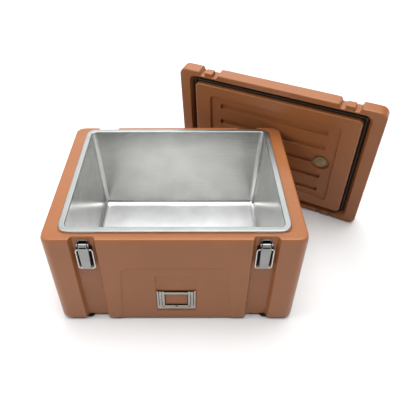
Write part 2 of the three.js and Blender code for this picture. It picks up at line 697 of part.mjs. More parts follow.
function lid() {
  const stand = new THREE.Group();
  stand.position.set(LID_FOOT_X, lidFootY(), -FOOT_Z);
  stand.rotation.z = LID_YAW;
  const lean = new THREE.Group();
  lean.rotation.x = Math.PI / 2 + LID_LEAN;
  const flat = new THREE.Group();
  flat.position.y = BODY_Y / 2;
  flat.add(part('lid_shell', lidShell(), materials.plastic));
  flat.add(part('lid_foam', lidFoamSpace(GAP), materials.foam));
  flat.add(part('lid_gasket', lidGasket(), materials.rubber));
  flat.add(part('lid_fill_plug', lidPlug(), materials.plug));
  lean.add(flat);
  stand.add(lean);
  return stand;
}

// ---- the whole carrier

const carrier = new THREE.Group();
carrier.add(part('body_shell', bodyShell(), materials.plastic));
carrier.add(part('body_foam', foamSpace(GAP), materials.foam));
carrier.add(part('body_fill_plug', bodyPlug(), materials.plug));
carrier.add(part('steel_liner', steelLiner(), materials.steel));
carrier.add(part('label_frame', labelFrame(), materials.steel));
for (const [end, sx] of ENDS) {
  const y = -BODY_Y / 2 + 2 * PANEL_DEPTH - GAP - FRAME_THICK - GAP;
  const z = FRAME_LOW_Z + FRAME_Z / 2;
  const rivet = outwardRivet(sx * FRAME_RIVET_X, y, z, 3.6, 1.2, FRAME_THICK + WALL - 2);
  carrier.add(part(`label_rivet_${end}`, rivet, materials.steel));
}
eachCorner((place, sx, sy) => {
  carrier.add(part(`foot_${place}`, foot(sx, sy), materials.rubber));
  carrier.add(part(`foot_${place}_screw`, footScrew(sx, sy), materials.steel));
  carrier.add(latch(place, sx, sy));
});
carrier.add(lid());

export default carrier;
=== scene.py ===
"""Looks, camera and light for the insulated food carrier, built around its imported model.

Metres, in the model's own frame: X right, Y back, Z up, and the origin in the middle of the box's
underside. Shapes are drawn in millimetres and scaled when they become meshes.
"""
import math

import bmesh
import bpy
from mathutils import Matrix, Vector


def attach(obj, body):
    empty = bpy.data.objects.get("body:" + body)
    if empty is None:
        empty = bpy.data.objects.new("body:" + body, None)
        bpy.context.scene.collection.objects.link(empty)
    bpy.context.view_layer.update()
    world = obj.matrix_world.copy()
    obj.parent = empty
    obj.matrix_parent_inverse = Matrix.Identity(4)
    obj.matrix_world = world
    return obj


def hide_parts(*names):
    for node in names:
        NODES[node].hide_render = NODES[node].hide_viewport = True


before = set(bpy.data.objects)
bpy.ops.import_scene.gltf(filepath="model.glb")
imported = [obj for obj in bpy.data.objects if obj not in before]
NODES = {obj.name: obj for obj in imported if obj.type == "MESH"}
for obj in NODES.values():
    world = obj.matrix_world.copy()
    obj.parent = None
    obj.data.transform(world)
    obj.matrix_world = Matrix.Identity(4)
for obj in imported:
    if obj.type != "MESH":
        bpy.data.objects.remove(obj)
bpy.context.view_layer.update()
MM = 0.001

# box
HALF_X, HALF_Y, TOP_Z = 325, 240, 325
BOX_CORNER, WALL_TOP = 24, 316
BED_Y = 226
CHANNEL_X = 222
FILL_HOLE_Y = 110
FILL_SEAL_R = 18.6  # of the disc that shuts a fill hole while a shell is remeshed
FOOT_X, FOOT_Y = 267, 199

# ridge of the box under the steel rim: where it starts, its reach out from the tub, its drop
RIDGE_FROM, RIDGE_REACH, RIDGE_DROP = 1.2, 13, 3

# steel tub
TUB_X, TUB_Y, TUB_CORNER = 270, 202, 14
TUB_DRAFT, TUB_FLOOR_Z, TUB_BEND = 12, 40, 16
SHEET, RIM_WIDTH, RIM_TOP = 1.2, 16, 333
TUB_BOTTOM_INSET = 14  # of the floor's first ring, in from the bend
RIM_LOW = 4  # depth below the rim's top that still counts as rim
RIM_IN_R, RIM_IN_X, RIM_OUT_R = 2.6, 2.2, 2.4  # the rim's rounded inner and outer edges
RIM_STEP = 0.4

# label frame
LABEL_BACK_Y, LABEL_LOW_Z, LABEL_HEIGHT = -235.3, 46, 76
LABEL_RIVET_X = 41
LABEL_RIVET_Z = LABEL_LOW_Z + LABEL_HEIGHT // 2

# latches, in a channel's own frame: bed at y = 0, outwards is -y
PIVOT_Y, PIVOT_Z = -8.9, 303
PIN_BORE_R = 2.35
RIVET_ZS = (250, 276)
BAIL_Y, BAIL_Z, BAIL_DROP, BAIL_HALF = -8.2, 285, 68.5, 20.6
WIRE_R, WIRE_BEND, WIRE_HOLE_R = 1.65, 5.5, 2.3
SHADE_BELOW_Z, SHADE_SLOT_Z = 304, 311  # tops of the base plate's part and slot that are painted black as shade

# lid, drawn flat with its underside up at z = 0
LID_YAW, LID_LEAN = math.radians(-26.8), math.radians(6.35)
LID_PLUG_X = 172
LID_FOOT_X, LID_FOOT_Z, LID_CLEAR = 317, 8, 0.6

# lid seal, whose groove's bed is at z = -14
SEAL_HALF_X, SEAL_HALF_Y, SEAL_CORNER, SEAL_WIDTH = 280.5, 212.5, 20, 13
GROOVE_BED_Z = -14

# studio floor
FLOOR_HALF, FLOOR_Z, FLOOR_UNDER_Z = 60000, -8.4, -17

PLACES = {
    "front_left": (-1, -1),
    "front_right": (1, -1),
    "back_left": (-1, 1),
    "back_right": (1, 1),
}


# ---- frames of the lid and of the four latch channels

def lid_matrix():
    """Where the flat lid goes: its lower edge stands on the ground beside the box.

    Its underside clears the box's corner by LID_CLEAR.
    """
    nx = -math.sin(LID_YAW) * math.cos(LID_LEAN)
    ny = math.cos(LID_YAW) * math.cos(LID_LEAN)
    nz = math.sin(LID_LEAN)
    reach = (HALF_X - BOX_CORNER) * nx + (HALF_Y - BOX_CORNER) * ny
    reach = reach + BOX_CORNER * math.hypot(nx, ny) + WALL_TOP * nz
    foot_y = (reach + LID_CLEAR - LID_FOOT_X * nx + LID_FOOT_Z * nz) / ny
    place = Matrix.Translation(Vector((LID_FOOT_X, foot_y, -LID_FOOT_Z)) * MM)
    turn = Matrix.Rotation(LID_YAW, 4, "Z") @ Matrix.Rotation(math.pi / 2 + LID_LEAN, 4, "X")
    return place @ turn @ Matrix.Translation((0, HALF_Y * MM, 0))


def channel_matrix(place):
    sx, sy = PLACES[place]
    turn = Matrix.Rotation(math.pi if sy > 0 else 0, 4, "Z")
    return Matrix.Translation((sx * CHANNEL_X * MM, sy * BED_Y * MM, 0)) @ turn


LID = lid_matrix()


# ---- meshes

def mesh_object(name, verts, faces, scale=MM):
    mesh = bpy.data.meshes.new(name)
    mesh.from_pydata([Vector(v) * scale for v in verts], [], faces)
    mesh.validate()
    bm = bmesh.new()
    bm.from_mesh(mesh)
    bmesh.ops.recalc_face_normals(bm, faces=bm.faces)
    bm.to_mesh(mesh)
    bm.free()
    obj = bpy.data.objects.new(name, mesh)
    bpy.context.scene.collection.objects.link(obj)
    return obj


def rounded_rect(half_x, half_y, r, z, segments=8):
    points = []
    corners = ((1, 1, 0), (-1, 1, 90), (-1, -1, 180), (1, -1, 270))
    for sx, sy, start in corners:
        for i in range(segments + 1):
            a = math.radians(start + 90 * i / segments)
            x, y = sx * (half_x - r) + r * math.cos(a), sy * (half_y - r) + r * math.sin(a)
            points.append((x, y, z))
    return points


def circle(r, x, y, z, count):
    turns = [math.radians(360 * (i + 0.5) / count) for i in range(count)]
    return [(x + r * math.cos(a), y + r * math.sin(a), z) for a in turns]


def loft(name, rings, closed=False):
    """Quads between rings of equal length, capped at the ends or joined last to first."""
    n = len(rings[0])
    verts = [v for ring in rings for v in ring]
    faces = []
    pairs = list(zip(range(len(rings) - 1), range(1, len(rings))))
    if closed:
        pairs.append((len(rings) - 1, 0))
    for a, b in pairs:
        for i in range(n):
            j = (i + 1) % n
            faces.append((a * n + i, a * n + j, b * n + j, b * n + i))
    if not closed:
        faces.append(tuple(range(n)))
        faces.append(tuple((len(rings) - 1) * n + i for i in range(n)))
    return mesh_object(name, verts, faces)


def arc(cx, cz, r, start, end, steps):
    """Points on an arc in a profile plane, angles in degrees."""
    turns = [math.radians(start + (end - start) * i / steps) for i in range(steps + 1)]
    return [(cx + r * math.cos(a), cz + r * math.sin(a)) for a in turns]


def lathe(name, profile, segments=32):
    """A turned solid about Z from (radius, z) points; one on the axis becomes a tiny ring."""
    rings = [circle(max(r, 0.01), 0, 0, z, segments) for r, z in profile]
    return loft(name, rings)


def prism(name, outline, y0, y1):
    """An outline in x and z, extruded from y0 to y1."""
    return loft(name, [[(x, y, z) for x, z in outline] for y in (y0, y1)])


def block(name, x0, x1, y0, y1, z0, z1):
    return prism(name, [(x0, z0), (x1, z0), (x1, z1), (x0, z1)], y0, y1)


def rod_x(name, r, x0, x1, y, z, segments=28):
    rings = [[(x, y + b, z + c) for b, c, _ in circle(r, 0, 0, 0, segments)] for x in (x0, x1)]
    return loft(name, rings)


def rod_y(name, r, y0, y1, x, z, segments=28):
    rings = [[(x + b, y, z + c) for b, c, _ in circle(r, 0, 0, 0, segments)] for y in (y0, y1)]
    return loft(name, rings)


def sweep(name, path, r, segments=16):
    """A round wire along a path that lies in a plane y = constant."""
    rings = []
    for i, p in enumerate(path):
        before, after = path[max(i - 1, 0)], path[min(i + 1, len(path) - 1)]
        t = Vector((after[0] - before[0], 0, after[2] - before[2])).normalized()
        side = Vector((-t.z, 0, t.x))
        ring = []
        for k in range(segments):
            a = 2 * math.pi * k / segments
            q = Vector(p) + side * (r * math.cos(a)) + Vector((0, r * math.sin(a), 0))
            ring.append(tuple(q))
        rings.append(ring)
    return loft(name, rings)


def remove(obj):
    mesh = obj.data
    bpy.data.objects.remove(obj)
    bpy.data.meshes.remove(mesh)


def baked(obj):
    """The object with its modifiers applied."""
    depsgraph = bpy.context.evaluated_depsgraph_get()
    mesh = bpy.data.meshes.new_from_object(obj.evaluated_get(depsgraph))
    old = obj.data
    obj.modifiers.clear()
    obj.data = mesh
    bpy.data.meshes.remove(old)
    return obj


def joined(name, objects):
    bm = bmesh.new()
    for obj in objects:
        bm.from_mesh(obj.data)
        remove(obj)
    mesh = bpy.data.meshes.new(name)
    bm.to_mesh(mesh)
    bm.free()
    obj = bpy.data.objects.new(name, mesh)
    bpy.context.scene.collection.objects.link(obj)
    return obj


def cut(obj, *tools):
    for tool in tools:
        modifier = obj.modifiers.new("cut", "BOOLEAN")
        modifier.operation = "DIFFERENCE"
        modifier.solver = "EXACT"
        modifier.use_self = True
        modifier.object = tool
        baked(obj)
        remove(tool)
    return obj


def largest_island(obj):
    """Keeps only the part of the mesh with the most faces."""
    bm = bmesh.new()
    bm.from_mesh(obj.data)
    left = set(bm.verts)
    islands = []
    while left:
        seed = left.pop()
        island, front = {seed}, [seed]
        while front:
            for edge in front.pop().link_edges:
                for v in edge.verts:
                    if v in left:
                        left.discard(v)
                        island.add(v)
                        front.append(v)
        islands.append(island)
    islands.sort(key=len)
    small = [v for island in islands[:-1] for v in island]
    bmesh.ops.delete(bm, geom=small, context="VERTS")
    bm.to_mesh(obj.data)
    bm.free()
    return obj


def softened(obj, voxel, passes, keep, one_piece=False):
    """Fuses overlapping solids into one skin whose edges are rounded, as on a moulded part."""
    remesh = obj.modifiers.new("fuse", "REMESH")
    remesh.mode = "VOXEL"
    remesh.voxel_size = voxel * MM
    baked(obj)
    if one_piece:
        largest_island(obj)
    smooth = obj.modifiers.new("round", "SMOOTH")
    smooth.factor = 0.5
    smooth.iterations = passes
    thin = obj.modifiers.new("thin", "DECIMATE")
    thin.ratio = keep
    return shaded(baked(obj))


def shaded(obj, angle=None):
    """Smooth shading whose normals follow the larger faces; sharp beyond a given angle."""
    obj.data.shade_smooth()
    if angle is not None:
        obj.data.set_sharp_from_angle(angle=math.radians(angle))
    weighted = obj.modifiers.new("normals", "WEIGHTED_NORMAL")
    weighted.keep_sharp = True
    return baked(obj)


def cad_copy(name, node):
    """A welded copy of a CAD node, for a shape that the model already has right."""
    bm = bmesh.new()
    bm.from_mesh(NODES[node].data)
    bmesh.ops.remove_doubles(bm, verts=bm.verts, dist=1e-6)
    mesh = bpy.data.meshes.new(name)
    bm.to_mesh(mesh)
    bm.free()
    obj = bpy.data.objects.new(name, mesh)
    bpy.context.scene.collection.objects.link(obj)
    return obj


def placed(obj, matrix, body, material_slot, material, *nodes):
    """Puts a finished piece in place, on its body, with its finish, standing for its CAD nodes."""
    obj.data.transform(matrix)
    choice = [face.material_index for face in obj.data.polygons]
    obj.data.materials.clear()
    for m in material if isinstance(material, (list, tuple)) else [material]:
        obj.data.materials.append(m)
    obj.data.polygons.foreach_set("material_index", choice)
    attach(obj, body)
    if nodes:
        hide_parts(*nodes)
    return obj


def twin(obj, name):
    """Another object with a copy of the same mesh."""
    other = bpy.data.objects.new(name, obj.data.copy())
    bpy.context.scene.collection.objects.link(other)
    return other


# ---- materials

class Nodes:
    """A material's node tree, with short ways to add to it."""

    def __init__(self, name, rough, metal=0.0, colour=(0.5, 0.5, 0.5)):
        self.material = bpy.data.materials.new(name)
        self.material.use_nodes = True
        self.tree = self.material.node_tree
        self.shader = self.tree.nodes["Principled BSDF"]
        self.shader.inputs["Roughness"].default_value = rough
        self.shader.inputs["Metallic"].default_value = metal
        self.shader.inputs["Base Color"].default_value = (*colour, 1)
        self.material.diffuse_color = (*colour, 1)

    def add(self, kind, **values):
        node = self.tree.nodes.new(kind)
        for key, value in values.items():
            setattr(node, key, value)
        return node

    def link(self, a, b):
        self.tree.links.new(a, b)

    def place(self, scale=(1, 1, 1)):
        coords = self.add("ShaderNodeTexCoord")
        mapping = self.add("ShaderNodeMapping")
        mapping.inputs["Scale"].default_value = scale
        self.link(coords.outputs["Object"], mapping.inputs["Vector"])
        return mapping.outputs["Vector"]

    def noise(self, scale, detail=3, roughness=0.5, stretch=(1, 1, 1)):
        node = self.add("ShaderNodeTexNoise")
        node.inputs["Scale"].default_value = scale
        node.inputs["Detail"].default_value = detail
        node.inputs["Roughness"].default_value = roughness
        self.link(self.place(stretch), node.inputs["Vector"])
        return node.outputs["Fac"]

    def ramp(self, fac, stops):
        node = self.add("ShaderNodeValToRGB")
        elements = node.color_ramp.elements
        while len(elements) < len(stops):
            elements.new(0.5)
        for element, (at, colour) in zip(elements, stops):
            element.position = at
            element.color = (*colour, 1)
        self.link(fac, node.inputs["Fac"])
        return node.outputs["Color"]

    def remap(self, fac, low, high, from_low=0.3, from_high=0.7):
        node = self.add("ShaderNodeMapRange")
        node.inputs["From Min"].default_value = from_low
        node.inputs["From Max"].default_value = from_high
        node.inputs["To Min"].default_value = low
        node.inputs["To Max"].default_value = high
        self.link(fac, node.inputs["Value"])
        return node.outputs["Result"]

    def mix(self, fac, a, b):
        node = self.add("ShaderNodeMix", data_type="RGBA", blend_type="MIX")
        for socket, value in ((node.inputs[0], fac), (node.inputs[6], a), (node.inputs[7], b)):
            if hasattr(value, "is_output"):
                self.link(value, socket)
            elif isinstance(value, (int, float)):
                socket.default_value = value
            else:
                socket.default_value = (*value, 1)
        return node.outputs[2]

    def bump(self, height, distance, strength=1.0, below=None):
        node = self.add("ShaderNodeBump")
        node.inputs["Distance"].default_value = distance
        node.inputs["Strength"].default_value = strength
        self.link(height, node.inputs["Height"])
        if below is not None:
            self.link(below, node.inputs["Normal"])
        self.link(node.outputs["Normal"], self.shader.inputs["Normal"])
        return node.outputs["Normal"]

    def set(self, **values):
        for key, value in values.items():
            socket = self.shader.inputs[key.replace("_", " ")]
            if hasattr(value, "is_output"):
                self.link(value, socket)
            else:
                socket.default_value = value
        return self


def plastic_material():
    n = Nodes("moulded_plastic", 0.34, colour=(0.272, 0.096, 0.031))
    patches = n.noise(9, 4, 0.6)
    speckle = n.noise(420, 2, 0.6)
    base = n.ramp(patches, [(0.3, (0.262, 0.092, 0.029)), (0.7, (0.286, 0.102, 0.033))])
    darker = n.remap(speckle, 0.0, 0.10, 0.45, 0.75)
    n.link(n.mix(darker, base, (0.205, 0.069, 0.021)), n.shader.inputs["Base Color"])
    n.link(n.remap(n.noise(60, 3, 0.6), 0.28, 0.38), n.shader.inputs["Roughness"])
    wide = n.bump(n.noise(75, 2, 0.5), 0.0004, 0.22)
    n.bump(n.noise(900, 2, 0.6), 0.0001, 0.35, wide)
    return n.set(Specular_IOR_Level=0.36).material


def brushed(name, colour, rough, stretch, strength=0.25, spread=1.0):
    n = Nodes(name, rough, 1.0, colour)
    lines = n.noise(1.0, 3, 0.65, stretch)
    clouds = n.noise(14, 3, 0.5)
    low = tuple(c * 0.86 for c in colour)
    n.link(n.mix(n.remap(clouds, 0.0, 1.0), colour, low), n.shader.inputs["Base Color"])
    streaks = n.remap(lines, rough - 0.07 * spread, rough + 0.09 * spread)
    n.link(streaks, n.shader.inputs["Roughness"])
    n.bump(lines, 0.00012, strength)
    return n.material


def rubber_material():
    n = Nodes("black_rubber", 0.75, colour=(0.007, 0.006, 0.005))
    dust = n.remap(n.noise(50, 4, 0.6), 0.0, 1.0)
    n.link(n.mix(dust, (0.005, 0.0045, 0.004), (0.012, 0.01, 0.008)), n.shader.inputs["Base Color"])
    n.link(n.remap(n.noise(120, 3, 0.5), 0.6, 0.82), n.shader.inputs["Roughness"])
    n.bump(n.noise(1100, 2, 0.5), 0.0001, 0.4)
    return n.set(Specular_IOR_Level=0.12).material


# Painted sheen: a lighter brown for the band along the seal between its two lips.
def painted_seal_sheen_material():
    n = Nodes("seal_painted_sheen", 0.5, colour=(0.06, 0.035, 0.022))
    n.link(n.mix(n.remap(n.noise(90, 2), 0, 1), (0.05, 0.028, 0.018), (0.075, 0.042, 0.028)),
           n.shader.inputs["Base Color"])
    n.bump(n.noise(1100, 2, 0.5), 0.0001, 0.3)
    return n.set(Specular_IOR_Level=0.2).material


def plug_material():
    n = Nodes("olive_plug", 0.38, colour=(0.25, 0.19, 0.085))
    n.link(n.ramp(n.noise(70, 3), [(0.3, (0.20, 0.145, 0.06)), (0.7, (0.27, 0.20, 0.09))]),
           n.shader.inputs["Base Color"])
    n.link(n.remap(n.noise(160, 2), 0.3, 0.46), n.shader.inputs["Roughness"])
    n.bump(n.noise(500, 2, 0.5), 0.0001, 0.3)
    return n.set(Coat_Weight=0.2).material


def foam_material():
    n = Nodes("foam", 0.9, colour=(0.78, 0.7, 0.42))
    cells = n.add("ShaderNodeTexVoronoi")
    cells.inputs["Scale"].default_value = 600
    n.link(n.place(), cells.inputs["Vector"])
    n.link(n.mix(n.remap(n.noise(30, 3), 0, 1), (0.72, 0.63, 0.36), (0.82, 0.75, 0.5)),
           n.shader.inputs["Base Color"])
    n.bump(cells.outputs["Distance"], 0.0004, 0.5)
    return n.material


PLASTIC = plastic_material()
TUB_LENGTHWISE = brushed("tub_steel", (0.6, 0.6, 0.58), 0.25, (9, 9, 900), 0.02, 0.3)
# Painted light: the tub's floor takes its steel in a lighter colour, standing in for the light that
# falls on it.
TUB_FLOOR_PAINTED_LIGHT = brushed("tub_floor_painted_light", (0.93, 0.94, 0.95), 0.42, (9, 900, 900), 0.08, 0.5)
RIM_STEEL = brushed("rim_steel", (0.34, 0.357, 0.35), 0.36, (60, 60, 60), 0.04)
LEVER_STEEL = brushed("lever_steel", (0.3, 0.305, 0.295), 0.38, (900, 900, 14), 0.25)
PLATE_STEEL = brushed("plate_steel", (0.36, 0.36, 0.35), 0.34, (14, 900, 900), 0.25)
FRAME_STEEL = brushed("frame_steel", (0.42, 0.41, 0.37), 0.38, (700, 700, 16), 0.3)
BRIGHT = brushed("bright_steel", (0.72, 0.715, 0.69), 0.3, (300, 300, 300), 0.05)
# Painted shade: near-black steel laid on the latch plates and the label frame where they lie in
# shadow.
PAINTED_SHADE = brushed("painted_shade_steel", (0.014, 0.012, 0.01), 0.55, (14, 900, 900), 0.25)
RUBBER = rubber_material()
PAINTED_SEAL_SHEEN = painted_seal_sheen_material()
OLIVE = plug_material()
FOAM = foam_material()


# ---- moulded shells

def hole_seal(low, high, x, y):
    """A disc that shuts a shell's fill hole, so that the foam's space is an island of its own."""
    seal = lathe("seal", [(0, low), (FILL_SEAL_R, low), (FILL_SEAL_R, high), (0, high)])
    seal.data.transform(Matrix.Translation((x * MM, y * MM, 0)))
    return seal


def moulded_box():
    """The box's shell. The ridge at its top is held back, so that it stays inside the steel rim."""
    seal = hole_seal(0.5, 6.6, 0, FILL_HOLE_Y)
    obj = joined("box_moulding", [cad_copy("box_solid", "body_shell"), seal])
    softened(obj, 1.5, 1, 0.12, one_piece=True)
    far_x, far_y = (TUB_X + RIDGE_REACH) * MM, (TUB_Y + RIDGE_REACH) * MM
    for v in obj.data.vertices:
        if v.co.z > (TOP_Z + RIDGE_FROM) * MM:
            v.co.z = min(v.co.z, (RIM_TOP - RIDGE_DROP) * MM)
            v.co.x = max(-far_x, min(far_x, v.co.x))
            v.co.y = max(-far_y, min(far_y, v.co.y))
    return placed(obj, Matrix.Identity(4), "carrier_box", "plastic", PLASTIC, "body_shell")


def moulded_lid():
    copy = cad_copy("lid_solid", "lid_shell")
    copy.data.transform(LID.inverted())
    seal = hole_seal(-11.6, -5.2, LID_PLUG_X, 0)
    obj = joined("lid_moulding", [copy, seal])
    softened(obj, 1.25, 1, 0.17, one_piece=True)
    return placed(obj, LID, "lid", "plastic", PLASTIC, "lid_shell")


# ---- steel tub

def tub_ring(inset, z, grow=0.0):
    half_x, half_y = TUB_X + grow - inset, TUB_Y + grow - inset
    return rounded_rect(half_x, half_y, TUB_CORNER + max(grow, 0), z, 10)


def tub_profile(grow):
    """Insets and heights from the floor's edge up the wall."""
    floor_z = TUB_FLOOR_Z - grow
    bend = []
    for i in range(9):
        a = math.radians(90 * i / 8)
        inset = TUB_DRAFT + TUB_BEND * (1 - math.sin(a))
        bend.append((inset, floor_z + TUB_BEND * (1 - math.cos(a))))
    return bend


def steel_tub():
    rings = [tub_ring(TUB_DRAFT + TUB_BEND + TUB_BOTTOM_INSET, TUB_FLOOR_Z)]
    rings += [tub_ring(inset, z) for inset, z in tub_profile(0)]
    rings.append(tub_ring(0.15, RIM_TOP - RIM_LOW))
    for out, z in arc(RIM_IN_X, RIM_TOP - RIM_IN_R, RIM_IN_R, 180, 90, 5):
        rings.append(tub_ring(-out, z))
    outer = RIM_WIDTH
    for out, z in arc(outer - RIM_OUT_R, RIM_TOP - RIM_OUT_R, RIM_OUT_R, 90, 0, 5):
        rings.append(tub_ring(0, z, out))
    rings.append(tub_ring(0, TOP_Z + RIM_STEP, outer))
    rings.append(tub_ring(0, TOP_Z + RIM_STEP, outer - SHEET))
    rings.append(tub_ring(0, RIM_TOP - SHEET - RIM_STEP, outer - SHEET))
    rings.append(tub_ring(0, RIM_TOP - SHEET, outer - SHEET - 0.6))
    rings.append(tub_ring(0, RIM_TOP - SHEET, SHEET + 1))
    rings += [tub_ring(inset, z, SHEET) for inset, z in reversed(tub_profile(SHEET))]
    obj = loft("steel_tub", rings)
    shaded(obj, 50)
    finishes = [TUB_LENGTHWISE, TUB_FLOOR_PAINTED_LIGHT, RIM_STEEL]
    placed(obj, Matrix.Identity(4), "carrier_box", "steel", finishes, "steel_liner")
    # The rim's faces take the rim steel. The floor's faces take the lighter steel, which is painted
    # light.
    for face in obj.data.polygons:
        z = face.center.z / MM
        if z > RIM_TOP - RIM_LOW:
            face.material_index = 2
        elif z < TUB_FLOOR_Z + 4:
            face.material_index = 1
    return obj


# ---- label frame

def label_frame():
    """A bent card frame: ridged side rails, a stepped lower bar with three stops, an upper bar."""
    y = LABEL_BACK_Y
    low, high = LABEL_LOW_Z, LABEL_LOW_Z + LABEL_HEIGHT
    parts = [block("back_sheet", -50.5, 50.5, y - 1.8, y, low + 1, high)]
    parts.append(block("lower_bar", -51, 51, y - 3.6, y, low, low + 12.5))
    parts.append(block("lower_step", -50, 50, y - 4.4, y - 2, low + 0.5, low + 6.5))
    parts.append(block("upper_bar", -40, 40, y - 3.6, y, high - 12.5, high - 4.5))
    for s in (-1, 1):
        for inner, outer, proud in ((31.6, 38.0, 4.0), (39.5, 45.8, 4.3), (47.3, 52, 4.3)):
            a, b = sorted((s * inner, s * outer))
            top = high + (1.2 if outer > 46 else -1)
            parts.append(block("rail", a, b, y - proud, y - 1, low + 1, top))
    obj = joined("card_frame", parts)
    window = block("window", -29.6, 29.6, y - 10, y + 2, low + 15, high - 15)
    rivet_xs = (-LABEL_RIVET_X, LABEL_RIVET_X)
    holes = [rod_y("hole", 2.5, y - 10, y + 2, x, LABEL_RIVET_Z) for x in rivet_xs]
    stop_zs = low + 7.5, low + 11.5
    stops = [block("stop", x - 3, x + 3, y - 8, y - 1.6, *stop_zs) for x in (-35, 0, 35)]
    cut(obj, window, *holes, *stops)
    softened(obj, 0.5, 1, 0.3)
    # Painted shade: the sunken faces between the rails and round the window take the near-black
    # finish.
    for face in obj.data.polygons:
        if face.center.y > (y - 2.9) * MM and abs(face.center.x) < 50 * MM:
            face.material_index = 1
    placed(obj, Matrix.Identity(4), "carrier_box", "steel", [FRAME_STEEL, PAINTED_SHADE], "label_frame")


def rivet_mesh(name, head_r, head_z, shank):
    profile = [(0, -shank), (2.1, -shank), (2.1, -0.02), (head_r - 0.15, 0), (head_r, 0.25)]
    for i in range(1, 8):
        a = math.radians(90 * i / 7)
        profile.append((head_r * math.cos(a), 0.25 + (head_z - 0.25) * math.sin(a)))
    return shaded(lathe(name, profile, 28), 50)


OUTWARDS = Matrix.Rotation(math.pi / 2, 4, "X")


def label_rivets():
    for end, sx in (("left", -1), ("right", 1)):
        obj = rivet_mesh(f"card_rivet_{end}", 3.6, 1.2, 8.2)
        spot = Vector((sx * LABEL_RIVET_X, LABEL_BACK_Y - 4.5, LABEL_RIVET_Z)) * MM
        at = Matrix.Translation(spot)
        placed(obj, at @ OUTWARDS, "carrier_box", "steel", PLATE_STEEL, f"label_rivet_{end}")


# ---- feet and plugs

def feet():
    for place, (sx, sy) in PLACES.items():
        at = Matrix.Translation(Vector((sx * FOOT_X, sy * FOOT_Y, 0)) * MM)
        segments = 8
        count = 4 * (segments + 1)
        rings = [rounded_rect(32, 32, 11.2, -0.3, segments)]
        rings.append(rounded_rect(33, 33, 12, -0.9, segments))
        rings.append(rounded_rect(33, 33, 12, -5, segments))
        rings.append(rounded_rect(32.4, 32.4, 11.6, -6.3, segments))
        rings.append(rounded_rect(31, 31, 11, -7, segments))
        for inset in (26, 20.5, 15):
            r = 11 * inset / 31
            rings.append(rounded_rect(inset + 1.6, inset + 1.6, r, -7, segments))
            rings.append(rounded_rect(inset + 1.0, inset + 1.0, r, -5.9, segments))
            rings.append(rounded_rect(inset - 0.4, inset - 0.4, r, -5.9, segments))
            rings.append(rounded_rect(inset - 1.0, inset - 1.0, r, -7, segments))
        well = ((7.3, -7), (7, -6.7), (7, -4), (2.8, -4), (2.8, -0.3))
        rings += [circle(r, 0, 0, z, count) for r, z in well]
        obj = loft(f"rubber_foot_{place}", rings, closed=True)
        shaded(obj, 40)
        placed(obj, at, "carrier_box", "rubber", RUBBER, f"foot_{place}")
        profile = [(0, -5.2), (2.5, -5.2), (2.5, 4.2), (0, 4.2)]
        head_profile = [(0, -4.3), (6, -4.3), (6, -5.0), (5.2, -5.9), (3.2, -6.2), (0, -6.2)]
        head = lathe("head", head_profile, 28)
        screw = joined(f"foot_screw_{place}", [lathe("shank", profile, 16), head])
        slots = [block("slot", -x, x, -y, y, -7, -5.2) for x, y in ((3.4, 0.5), (0.5, 3.4))]
        cut(screw, *slots)
        shaded(screw, 35)
        placed(screw, at, "carrier_box", "steel", PLATE_STEEL, f"foot_{place}_screw")


def plug_mesh(name, deep):
    """A fill plug facing +Z: a rolled edge, a shallow dish and a low dome."""
    profile = [(0, -deep), (18.5, -deep), (18.5, 0.3), (21, 0.3), (21, 1.2)]
    profile += [(20.4, 1.9), (19.2, 2.2), (17.9, 1.8), (17.0, 1.2), (15.5, 1.1)]
    profile += [(13.0, 1.5), (9.0, 2.0), (4.5, 2.25), (0, 2.3)]
    return shaded(lathe(name, profile, 48), 50)


def plugs():
    at = LID @ Matrix.Translation((LID_PLUG_X * MM, 0, -5 * MM))
    placed(plug_mesh("lid_olive_plug", 5.7), at, "lid", "plug", OLIVE, "lid_fill_plug")
    down = Matrix.Translation((0, FILL_HOLE_Y * MM, 0.002)) @ Matrix.Rotation(math.pi, 4, "X")
    plug = plug_mesh("box_olive_plug", 3.7)
    plug.data.transform(Matrix.Diagonal((1, 1, 0.72, 1)))
    placed(plug, down, "carrier_box", "plug", OLIVE, "body_fill_plug")


# ---- lid seal

def lid_seal():
    """A ring. Its section is (inset from its outer edge, height over the groove's bed)."""
    lip = [(0.3, 0.3), (0, 1), (0, 3.6), (0.8, 4.9), (2.2, 5.8), (3.6, 5.9), (4.8, 5.2), (5.6, 4.3)]
    section = lip + [(6.5, 4.0)] + [(SEAL_WIDTH - inset, z) for inset, z in reversed(lip)]
    rings = []
    for inset, z in section:
        half_x, half_y = SEAL_HALF_X - inset, SEAL_HALF_Y - inset
        corner = SEAL_CORNER - inset * 0.5
        rings.append(rounded_rect(half_x, half_y, corner, z + GROOVE_BED_Z, 10))
    obj = loft("lid_seal", rings, closed=True)
    shaded(obj, 60)
    # Painted sheen: the band between the two lips takes the lighter brown finish.
    for face in obj.data.polygons:
        x, y, z = face.center / MM
        inset = min(SEAL_HALF_X - abs(x), SEAL_HALF_Y - abs(y))
        if 4.8 < inset < 8.2 and z > GROOVE_BED_Z + 3:
            face.material_index = 1
    placed(obj, LID, "lid", "rubber", [RUBBER, PAINTED_SEAL_SHEEN], "lid_gasket")


# ---- latches

def corner_cut(points, r, steps=5):
    """An outline with every corner rounded to r."""
    out = []
    n = len(points)
    for i, p in enumerate(points):
        p = Vector(p)
        a = (Vector(points[i - 1]) - p)
        b = (Vector(points[(i + 1) % n]) - p)
        reach = min(r, a.length * 0.45, b.length * 0.45)
        start, end = p + a.normalized() * reach, p + b.normalized() * reach
        for k in range(steps + 1):
            t = k / steps
            out.append(tuple((1 - t) ** 2 * start + 2 * t * (1 - t) * p + t * t * end))
    return out


